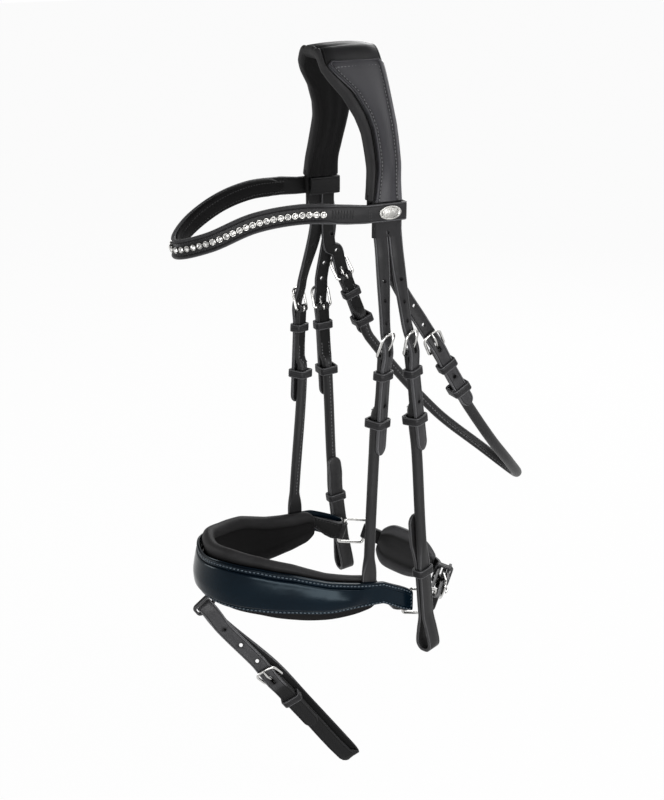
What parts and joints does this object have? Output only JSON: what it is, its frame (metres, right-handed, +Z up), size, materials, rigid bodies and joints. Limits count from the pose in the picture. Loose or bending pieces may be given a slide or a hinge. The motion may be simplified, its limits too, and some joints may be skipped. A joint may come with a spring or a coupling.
{
  "type": "snaffle bridle",
  "caption": "Padded snaffle bridle with a curved headpiece, crystal browband, rolled leather cheeks and throatlash, padded noseband with rings, chin strap and flash strap.",
  "frame": {"origin": "the underside of the headpiece pad, at the middle of the poll", "axes": "+Z up, -Y towards the front of the horse's head, +X towards the horse's left, the near side"},
  "size_m": [0.181, 0.3498, 0.6904],
  "materials": {
    "bridle_leather": "black bridle leather, satin, with smooth edges",
    "smooth_leather": "smooth dark grey-black leather, matt",
    "soft_lining": "soft padded black leather, matt",
    "patent_leather": "dark navy patent leather, glossy",
    "bright_steel": "bright plated fittings",
    "crystal": "clear silvered stones in bright cups"
  },
  "bodies": {
    "bridle": {"bit_cheek_far": "bridle_leather", "bit_cheek_near": "bridle_leather", "bit_keeper_far": "bridle_leather", "bit_keeper_near": "bridle_leather", "bit_stud_far": "bright_steel", "bit_stud_near": "bright_steel", "cheek_buckle_far": "bright_steel", "cheek_buckle_near": "bright_steel", "cheek_keeper_far": "bridle_leather", "cheek_keeper_near": "bridle_leather", "flash_loop": "bridle_leather", "hanger_buckle_far": "bright_steel", "hanger_buckle_near": "bright_steel", "hanger_keeper_far": "bridle_leather", "hanger_keeper_near": "bridle_leather", "headpiece_overlay_far": "smooth_leather", "headpiece_overlay_near": "smooth_leather", "headpiece_pad": "soft_lining", "headpiece_strap": "bridle_leather", "noseband_hanger_far": "bridle_leather", "noseband_hanger_near": "bridle_leather", "noseband_lining": "soft_lining", "noseband_panel": "patent_leather", "noseband_strap": "bridle_leather", "throat_billet_far": "bridle_leather", "throat_billet_near": "bridle_leather", "throat_buckle_far": "bright_steel", "throat_buckle_near": "bright_steel", "throat_keeper_far": "bridle_leather", "throat_keeper_near": "bridle_leather", "throatlash": "bridle_leather"},
    "hanger_prong_near": {"hanger_prong_near": "bright_steel"},
    "hanger_runner_near": {"hanger_runner_near": "bridle_leather"},
    "cheek_prong_near": {"cheek_prong_near": "bright_steel"},
    "cheek_runner_near": {"cheek_runner_near": "bridle_leather"},
    "throat_prong_near": {"throat_prong_near": "bright_steel"},
    "throat_runner_near": {"throat_runner_near": "bridle_leather"},
    "hanger_prong_far": {"hanger_prong_far": "bright_steel"},
    "hanger_runner_far": {"hanger_runner_far": "bridle_leather"},
    "cheek_prong_far": {"cheek_prong_far": "bright_steel"},
    "cheek_runner_far": {"cheek_runner_far": "bridle_leather"},
    "throat_prong_far": {"throat_prong_far": "bright_steel"},
    "throat_runner_far": {"throat_runner_far": "bridle_leather"},
    "browband": {"browband_strap": "bridle_leather", "browband_lining": "soft_lining", "browband_crystals": "crystal", "browband_badge": "bright_steel"},
    "flash": {"flash_strap": "bridle_leather", "flash_buckle": "bright_steel", "flash_keeper": "bridle_leather"},
    "flash_prong": {"flash_prong": "bright_steel"},
    "ring_far": {"noseband_ring_far": "bright_steel"},
    "ring_near": {"noseband_ring_near": "bright_steel"},
    "chin": {"chin_strap": "bridle_leather", "chin_pad": "soft_lining", "chin_buckle_tab": "bridle_leather", "chin_buckle": "bright_steel", "chin_keeper": "bridle_leather"},
    "chin_prong": {"chin_prong": "bright_steel"}
  },
  "joints": [
    {"name": "hanger_prong_near_swing", "type": "hinge", "parent": "bridle", "child": "hanger_prong_near", "pos_m": [0.078, 0.003, -0.235], "axis": [-0.4539, 0.8909, -0.0175], "range_deg": [0, 14]},
    {"name": "hanger_runner_near_slide", "type": "slide", "parent": "bridle", "child": "hanger_runner_near", "axis": [-0.033, -0.0364, -0.9988], "range_m": [-0.003, 0.01]},
    {"name": "cheek_prong_near_swing", "type": "hinge", "parent": "bridle", "child": "cheek_prong_near", "pos_m": [0.0785, 0.028, -0.236], "axis": [-0.4519, 0.8868, 0.0968], "range_deg": [0, 14]},
    {"name": "cheek_runner_near_slide", "type": "slide", "parent": "bridle", "child": "cheek_runner_near", "axis": [0.0186, 0.1179, -0.9929], "range_m": [-0.003, 0.01]},
    {"name": "throat_prong_near_swing", "type": "hinge", "parent": "bridle", "child": "throat_prong_near", "pos_m": [0.07, 0.06, -0.2405], "axis": [0, 0.857, 0.5154], "range_deg": [0, 14]},
    {"name": "throat_runner_near_slide", "type": "slide", "parent": "bridle", "child": "throat_runner_near", "axis": [0, 0.5154, -0.857], "range_m": [-0.003, 0.01]},
    {"name": "hanger_prong_far_swing", "type": "hinge", "parent": "bridle", "child": "hanger_prong_far", "pos_m": [-0.078, 0.002, -0.235], "axis": [0.4988, -0.8639, 0.0698], "range_deg": [0, 14]},
    {"name": "hanger_runner_far_slide", "type": "slide", "parent": "bridle", "child": "hanger_runner_far", "axis": [0.0344, -0.0607, -0.9976], "range_m": [-0.003, 0.01]},
    {"name": "cheek_prong_far_swing", "type": "hinge", "parent": "bridle", "child": "cheek_prong_far", "pos_m": [-0.0785, 0.024, -0.236], "axis": [0, -0.9981, -0.0624], "range_deg": [0, 14]},
    {"name": "cheek_runner_far_slide", "type": "slide", "parent": "bridle", "child": "cheek_runner_far", "axis": [-0.0187, 0.0624, -0.9979], "range_m": [-0.003, 0.01]},
    {"name": "throat_prong_far_swing", "type": "hinge", "parent": "bridle", "child": "throat_prong_far", "pos_m": [-0.063, 0.04, -0.205], "axis": [0, -0.9307, -0.3659], "range_deg": [0, 14]},
    {"name": "throat_runner_far_slide", "type": "slide", "parent": "bridle", "child": "throat_runner_far", "axis": [-0.0128, 0.3658, -0.9306], "range_m": [-0.003, 0.01]},
    {"name": "browband_slide", "type": "slide", "parent": "bridle", "child": "browband", "axis": [0, 0, -1], "range_m": [0, 0.008]},
    {"name": "flash_swing", "type": "hinge", "parent": "bridle", "child": "flash", "pos_m": [0, -0.1336, -0.4735], "axis": [1, 0, 0], "range_deg": [-10, 10]},
    {"name": "flash_prong_swing", "type": "hinge", "parent": "flash", "child": "flash_prong", "pos_m": [0, -0.0663, -0.56613], "axis": [0.342, 0.7602, 0.5523], "range_deg": [0, 14]},
    {"name": "ring_far_swing", "type": "hinge", "parent": "bridle", "child": "ring_far", "pos_m": [-0.06494, 0.0375, -0.46145], "axis": [0.1262, 0.2568, 0.9582], "range_deg": [-8, 8]},
    {"name": "ring_near_swing", "type": "hinge", "parent": "bridle", "child": "ring_near", "pos_m": [0.06494, 0.0375, -0.47855], "axis": [0.1262, 0.2568, 0.9582], "range_deg": [-8, 8]},
    {"name": "chin_swing", "type": "hinge", "parent": "ring_far", "child": "chin", "pos_m": [-0.06588, 0.06456, -0.46858], "axis": [0.1262, 0.2568, 0.9582], "range_deg": [-8, 8]},
    {"name": "chin_prong_swing", "type": "hinge", "parent": "chin", "child": "chin_prong", "pos_m": [0.02749, 0.09556, -0.48918], "axis": [0.1262, 0.2568, 0.9582], "range_deg": [0, 14]}
  ],
  "couplings": [
    {"joint": "ring_near_swing", "follows": "ring_far_swing", "ratio": 1},
    {"joint": "chin_swing", "follows": "ring_far_swing", "ratio": -1}
  ]
}
